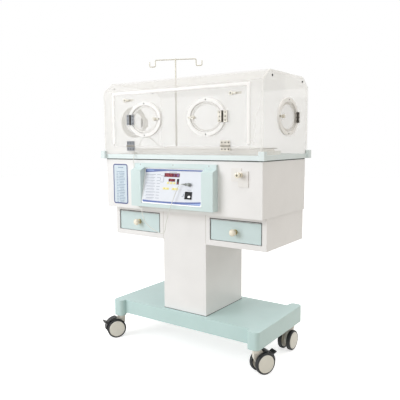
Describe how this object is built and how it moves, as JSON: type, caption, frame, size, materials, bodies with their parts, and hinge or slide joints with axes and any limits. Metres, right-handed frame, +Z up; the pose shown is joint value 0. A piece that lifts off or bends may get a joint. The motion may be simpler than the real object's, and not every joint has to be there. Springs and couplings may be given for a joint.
{
  "type": "infant incubator",
  "caption": "Infant incubator on a castored stand: clear hood with hand ports, tray, control cabinet, drawers and drip pole.",
  "frame": {"origin": "centre of the overall box, on the floor under the casters; a moving cord is left out", "axes": "+X to the right of someone facing the control console, +Y from the front to the back, +Z up"},
  "size_m": [0.9891, 0.6128, 1.52],
  "materials": {
    "mint_enamel": "satin",
    "mint_front": "satin",
    "white_enamel": "satin",
    "frame_steel": "plain",
    "fork_plastic": "satin",
    "wheel_rubber": "matte",
    "pedal_black": "matte",
    "plate_film": "satin",
    "display": "gloss",
    "switch_black": "gloss",
    "plug_grey": "matte",
    "cable_grey": "matte",
    "damper_white": "satin",
    "knob_ivory": "gloss",
    "hood_clear": "clear",
    "collar_white": "satin",
    "hinge_steel": "polished",
    "pole_chrome": "polished",
    "bed_plastic": "satin",
    "mattress_cloth": "woven",
    "motor_iron": "painted",
    "fan_plastic": "matte",
    "board_green": "satin",
    "inlet_black": "matte"
  },
  "bodies": {
    "stand": {"base_cover": "mint_enamel", "base_frame": "frame_steel", "column": "white_enamel", "drawer_housing_right": "white_enamel", "drawer_housing_left": "white_enamel", "cabinet_shell": "white_enamel", "rear_cover": "white_enamel", "power_inlet": "inlet_black", "console_housing": "mint_enamel", "console_plate": "plate_film", "console_display": "display", "sensor_plug": "plug_grey", "sensor_cable": "cable_grey", "skin_probe": "plug_grey", "damper_plate": "damper_white", "tray": "mint_enamel", "bed_deck": "bed_plastic", "mattress": "mattress_cloth", "hood_front": "hood_clear", "hood_canopy": "hood_clear", "hood_end_right": "hood_clear", "hood_end_left": "hood_clear", "hood_hinge_leaves": "hinge_steel", "port_collars_end": "collar_white", "pole_tube": "pole_chrome", "fan_motor": "motor_iron", "heater": "frame_steel", "water_tank": "frame_steel", "control_board": "board_green"},
    "drawer_right": {"drawer_right": "mint_front"},
    "drawer_left": {"drawer_left": "mint_front"},
    "swivel_fr": {"caster_fork_fr": "fork_plastic"},
    "wheels_fr": {"caster_wheels_fr": "wheel_rubber"},
    "brake_fr": {"brake_pedal_fr": "pedal_black"},
    "swivel_fl": {"caster_fork_fl": "fork_plastic"},
    "wheels_fl": {"caster_wheels_fl": "wheel_rubber"},
    "brake_fl": {"brake_pedal_fl": "pedal_black"},
    "swivel_rr": {"caster_fork_rr": "fork_plastic"},
    "wheels_rr": {"caster_wheels_rr": "wheel_rubber"},
    "swivel_rl": {"caster_fork_rl": "fork_plastic"},
    "wheels_rl": {"caster_wheels_rl": "wheel_rubber"},
    "rocker": {"rocker_switch": "switch_black"},
    "damper_knob": {"damper_knob": "knob_ivory"},
    "front_door": {"front_door": "hood_clear", "port_collars_front": "collar_white", "door_hinge_leaves": "hinge_steel"},
    "door_latch_right": {"door_latch_turn_right": "collar_white"},
    "door_latch_left": {"door_latch_turn_left": "collar_white"},
    "port_front_right": {"port_door_front_right": "hood_clear"},
    "port_latch_front_right": {"port_latch_turn_front_right": "collar_white"},
    "port_front_left": {"port_door_front_left": "hood_clear"},
    "port_latch_front_left": {"port_latch_turn_front_left": "collar_white"},
    "port_end_right": {"port_door_end_right": "hood_clear"},
    "port_latch_end_right": {"port_latch_turn_end_right": "collar_white"},
    "port_end_left": {"port_door_end_left": "hood_clear"},
    "port_latch_end_left": {"port_latch_turn_end_left": "collar_white"},
    "drip_pole": {"iv_pole": "pole_chrome"},
    "fan": {"fan_impeller": "fan_plastic"}
  },
  "joints": [
    {"name": "drawer_right_slide", "type": "slide", "parent": "stand", "child": "drawer_right", "axis": [0, -1, 0], "range_m": [0, 0.25]},
    {"name": "drawer_left_slide", "type": "slide", "parent": "stand", "child": "drawer_left", "axis": [0, -1, 0], "range_m": [0, 0.25]},
    {"name": "caster_fr_swivel", "type": "hinge", "parent": "stand", "child": "swivel_fr", "pos_m": [0.42654, -0.20635, 0.11], "axis": [0, 0, 1], "continuous": true},
    {"name": "caster_fr_spin", "type": "hinge", "parent": "swivel_fr", "child": "wheels_fr", "pos_m": [0.4425, -0.17633, 0.05], "axis": [-0.8829, 0.4695, 0], "continuous": true},
    {"name": "brake_fr_press", "type": "hinge", "parent": "swivel_fr", "child": "brake_fr", "pos_m": [0.4425, -0.17633, 0.05], "axis": [-0.8829, 0.4695, 0], "range_deg": [0, 15]},
    {"name": "caster_fl_swivel", "type": "hinge", "parent": "stand", "child": "swivel_fl", "pos_m": [-0.39746, -0.20635, 0.11], "axis": [0, 0, 1], "continuous": true},
    {"name": "caster_fl_spin", "type": "hinge", "parent": "swivel_fl", "child": "wheels_fl", "pos_m": [-0.41648, -0.23453, 0.05], "axis": [0.829, -0.5592, 0], "continuous": true},
    {"name": "brake_fl_press", "type": "hinge", "parent": "swivel_fl", "child": "brake_fl", "pos_m": [-0.41648, -0.23453, 0.05], "axis": [0.829, -0.5592, 0], "range_deg": [0, 15]},
    {"name": "caster_rr_swivel", "type": "hinge", "parent": "stand", "child": "swivel_rr", "pos_m": [0.42654, 0.16365, 0.11], "axis": [0, 0, 1], "continuous": true},
    {"name": "caster_rr_spin", "type": "hinge", "parent": "swivel_rr", "child": "wheels_rr", "pos_m": [0.42535, 0.12967, 0.05], "axis": [0.9994, -0.0349, 0], "continuous": true},
    {"name": "caster_rl_swivel", "type": "hinge", "parent": "stand", "child": "swivel_rl", "pos_m": [-0.39746, 0.16365, 0.11], "axis": [0, 0, 1], "continuous": true},
    {"name": "caster_rl_spin", "type": "hinge", "parent": "swivel_rl", "child": "wheels_rl", "pos_m": [-0.42941, 0.15202, 0.05], "axis": [0.342, -0.9397, 0], "continuous": true},
    {"name": "rocker_tilt", "type": "hinge", "parent": "stand", "child": "rocker", "pos_m": [0.10454, -0.26525, 0.79472], "axis": [1, 0, 0], "range_deg": [0, 10]},
    {"name": "damper_turn", "type": "hinge", "parent": "stand", "child": "damper_knob", "pos_m": [0.36654, -0.25235, 0.898], "axis": [0, -1, 0], "range_deg": [0, 90]},
    {"name": "front_door_hinge", "type": "hinge", "parent": "stand", "child": "front_door", "pos_m": [0.01454, -0.25515, 1.0235], "axis": [1, 0, 0], "range_deg": [0, 95]},
    {"name": "door_latch_right_turn", "type": "hinge", "parent": "front_door", "child": "door_latch_right", "pos_m": [0.32254, -0.25135, 1.248], "axis": [0, -1, 0], "range_deg": [0, 90]},
    {"name": "door_latch_left_turn", "type": "hinge", "parent": "front_door", "child": "door_latch_left", "pos_m": [-0.29346, -0.25135, 1.248], "axis": [0, -1, 0], "range_deg": [0, 90]},
    {"name": "port_front_right_hinge", "type": "hinge", "parent": "front_door", "child": "port_front_right", "pos_m": [0.28354, -0.26415, 1.151], "axis": [0, 0, 1], "range_deg": [0, 120]},
    {"name": "port_latch_front_right_turn", "type": "hinge", "parent": "port_front_right", "child": "port_latch_front_right", "pos_m": [0.12754, -0.25135, 1.151], "axis": [0, 1, 0], "range_deg": [0, 90]},
    {"name": "port_front_left_hinge", "type": "hinge", "parent": "front_door", "child": "port_front_left", "pos_m": [-0.25446, -0.26415, 1.151], "axis": [0, 0, -1], "range_deg": [0, 120]},
    {"name": "port_latch_front_left_turn", "type": "hinge", "parent": "port_front_left", "child": "port_latch_front_left", "pos_m": [-0.09846, -0.25135, 1.151], "axis": [0, -1, 0], "range_deg": [0, 90]},
    {"name": "port_end_right_hinge", "type": "hinge", "parent": "stand", "child": "port_end_right", "pos_m": [0.48834, 0.07015, 1.151], "axis": [0, 0, 1], "range_deg": [0, 120]},
    {"name": "port_latch_end_right_turn", "type": "hinge", "parent": "port_end_right", "child": "port_latch_end_right", "pos_m": [0.47554, -0.08585, 1.151], "axis": [-1, 0, 0], "range_deg": [0, 90]},
    {"name": "port_end_left_hinge", "type": "hinge", "parent": "stand", "child": "port_end_left", "pos_m": [-0.45926, 0.07015, 1.151], "axis": [0, 0, -1], "range_deg": [0, 120]},
    {"name": "port_latch_end_left_turn", "type": "hinge", "parent": "port_end_left", "child": "port_latch_end_left", "pos_m": [-0.44646, -0.08585, 1.151], "axis": [-1, 0, 0], "range_deg": [0, 90]},
    {"name": "drip_pole_slide", "type": "slide", "parent": "stand", "child": "drip_pole", "axis": [0, 0, 1], "range_m": [-0.1, 0.25]},
    {"name": "fan_spin", "type": "hinge", "parent": "stand", "child": "fan", "pos_m": [0.10454, 0.02765, 0.79], "axis": [0, 0, 1], "continuous": true}
  ]
}
